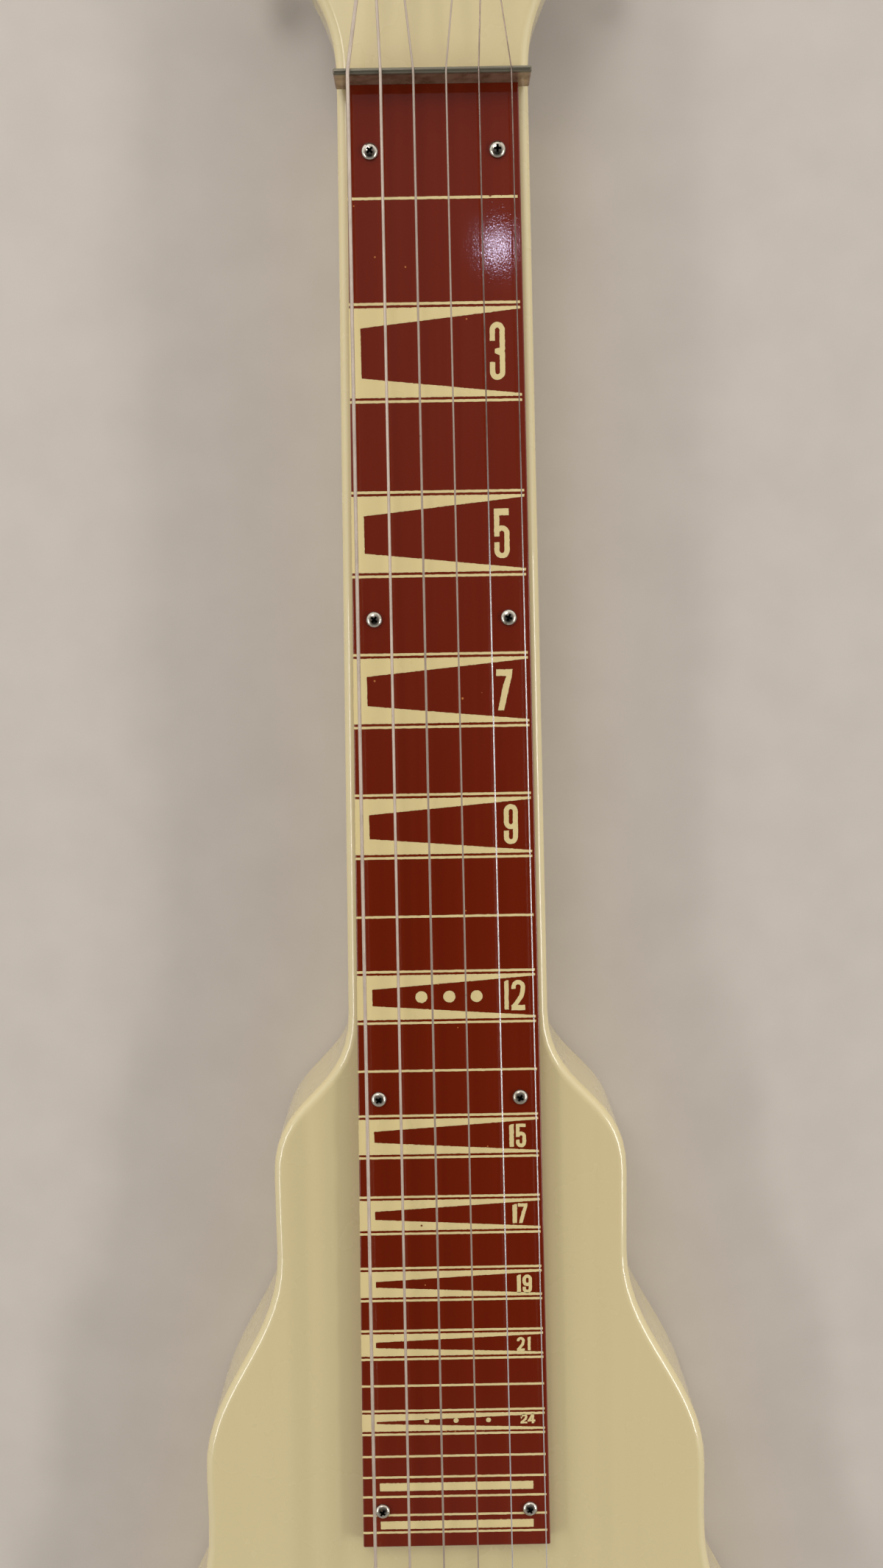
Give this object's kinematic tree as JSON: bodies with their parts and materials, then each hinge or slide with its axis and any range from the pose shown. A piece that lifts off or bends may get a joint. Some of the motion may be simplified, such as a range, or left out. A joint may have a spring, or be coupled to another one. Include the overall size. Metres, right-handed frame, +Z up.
{
  "type": "lap steel guitar",
  "caption": "Electric lap steel guitar with a stepped wooden body, raised nut, marked fretboard, pickup under steel strings, hand rest, turning knobs and geared tuners.",
  "frame": {"origin": "centre of the bounding box, on the flat back that the guitar lies on", "axes": "+Y along the strings towards the headstock, +X towards the treble side, +Z up out of the fretboard"},
  "size_m": [0.22, 0.802, 0.0679],
  "materials": {
    "lacquered_wood": "gloss cream lacquer",
    "maroon_plastic": "gloss, printed",
    "nickel": "worn nickel plate",
    "steel": "drawn wire",
    "brass": "turned",
    "ivory_plastic": "aged gloss",
    "black_plastic": "moulded",
    "magnet_iron": "cast",
    "brown_plastic": "dipped"
  },
  "bodies": {
    "guitar": {"body": "lacquered_wood", "fretboard": "maroon_plastic", "nut": "nickel", "bridge": "nickel", "tailpiece": "nickel", "tuner_plate_bass": "nickel", "tuner_plate_treble": "nickel", "pickup_cover": "nickel", "pickup_coil": "black_plastic", "pole_bar": "steel", "pickup_magnet": "magnet_iron", "hand_rest": "nickel", "volume_pot": "steel", "tone_pot": "steel", "control_cover": "black_plastic", "capacitor": "brown_plastic", "jack_socket": "nickel", "jack_plate": "nickel", "board_screw_1": "nickel", "board_screw_2": "nickel", "board_screw_3": "nickel", "board_screw_4": "nickel", "board_screw_5": "nickel", "board_screw_6": "nickel", "board_screw_7": "nickel", "board_screw_8": "nickel", "string_1": "steel", "bushing_1": "nickel", "string_2": "steel", "bushing_2": "nickel", "string_3": "steel", "bushing_3": "nickel", "string_4": "steel", "bushing_4": "nickel", "string_5": "steel", "bushing_5": "nickel", "string_6": "steel", "bushing_6": "nickel"},
    "volume_control": {"volume_knob": "ivory_plastic", "volume_shaft": "brass"},
    "tone_control": {"tone_knob": "ivory_plastic", "tone_shaft": "brass"},
    "key_1": {"worm_shaft_1": "steel", "button_1": "ivory_plastic"},
    "spool_1": {"post_1": "nickel"},
    "key_2": {"worm_shaft_2": "steel", "button_2": "ivory_plastic"},
    "spool_2": {"post_2": "nickel"},
    "key_3": {"worm_shaft_3": "steel", "button_3": "ivory_plastic"},
    "spool_3": {"post_3": "nickel"},
    "key_4": {"worm_shaft_4": "steel", "button_4": "ivory_plastic"},
    "spool_4": {"post_4": "nickel"},
    "key_5": {"worm_shaft_5": "steel", "button_5": "ivory_plastic"},
    "spool_5": {"post_5": "nickel"},
    "key_6": {"worm_shaft_6": "steel", "button_6": "ivory_plastic"},
    "spool_6": {"post_6": "nickel"}
  },
  "joints": [
    {"name": "volume_turn", "type": "hinge", "parent": "guitar", "child": "volume_control", "pos_m": [0.082, -0.285, 0.04], "axis": [0, 0, 1], "range_deg": [-150, 150]},
    {"name": "tone_turn", "type": "hinge", "parent": "guitar", "child": "tone_control", "pos_m": [0.086, -0.337, 0.04], "axis": [0, 0, 1], "range_deg": [-150, 150]},
    {"name": "key_1_turn", "type": "hinge", "parent": "guitar", "child": "key_1", "pos_m": [0.0192, 0.30306, 0.01845], "axis": [1, 0, 0], "continuous": true},
    {"name": "post_1_turn", "type": "hinge", "parent": "guitar", "child": "spool_1", "pos_m": [0.0192, 0.296, 0.01845], "axis": [0, 0, 1], "continuous": true},
    {"name": "key_2_turn", "type": "hinge", "parent": "guitar", "child": "key_2", "pos_m": [0.0192, 0.33806, 0.01845], "axis": [1, 0, 0], "continuous": true},
    {"name": "post_2_turn", "type": "hinge", "parent": "guitar", "child": "spool_2", "pos_m": [0.0192, 0.331, 0.01845], "axis": [0, 0, 1], "continuous": true},
    {"name": "key_3_turn", "type": "hinge", "parent": "guitar", "child": "key_3", "pos_m": [0.0192, 0.37306, 0.01845], "axis": [1, 0, 0], "continuous": true},
    {"name": "post_3_turn", "type": "hinge", "parent": "guitar", "child": "spool_3", "pos_m": [0.0192, 0.366, 0.01845], "axis": [0, 0, 1], "continuous": true},
    {"name": "key_4_turn", "type": "hinge", "parent": "guitar", "child": "key_4", "pos_m": [-0.0208, 0.37306, 0.01845], "axis": [1, 0, 0], "continuous": true},
    {"name": "post_4_turn", "type": "hinge", "parent": "guitar", "child": "spool_4", "pos_m": [-0.0208, 0.366, 0.01845], "axis": [0, 0, 1], "continuous": true},
    {"name": "key_5_turn", "type": "hinge", "parent": "guitar", "child": "key_5", "pos_m": [-0.0208, 0.33806, 0.01845], "axis": [1, 0, 0], "continuous": true},
    {"name": "post_5_turn", "type": "hinge", "parent": "guitar", "child": "spool_5", "pos_m": [-0.0208, 0.331, 0.01845], "axis": [0, 0, 1], "continuous": true},
    {"name": "key_6_turn", "type": "hinge", "parent": "guitar", "child": "key_6", "pos_m": [-0.0208, 0.30306, 0.01845], "axis": [1, 0, 0], "continuous": true},
    {"name": "post_6_turn", "type": "hinge", "parent": "guitar", "child": "spool_6", "pos_m": [-0.0208, 0.296, 0.01845], "axis": [0, 0, 1], "continuous": true}
  ],
  "couplings": [
    {"joint": "post_1_turn", "follows": "key_1_turn", "ratio": 0.071429},
    {"joint": "post_2_turn", "follows": "key_2_turn", "ratio": 0.071429},
    {"joint": "post_3_turn", "follows": "key_3_turn", "ratio": 0.071429},
    {"joint": "post_4_turn", "follows": "key_4_turn", "ratio": 0.071429},
    {"joint": "post_5_turn", "follows": "key_5_turn", "ratio": 0.071429},
    {"joint": "post_6_turn", "follows": "key_6_turn", "ratio": 0.071429}
  ]
}
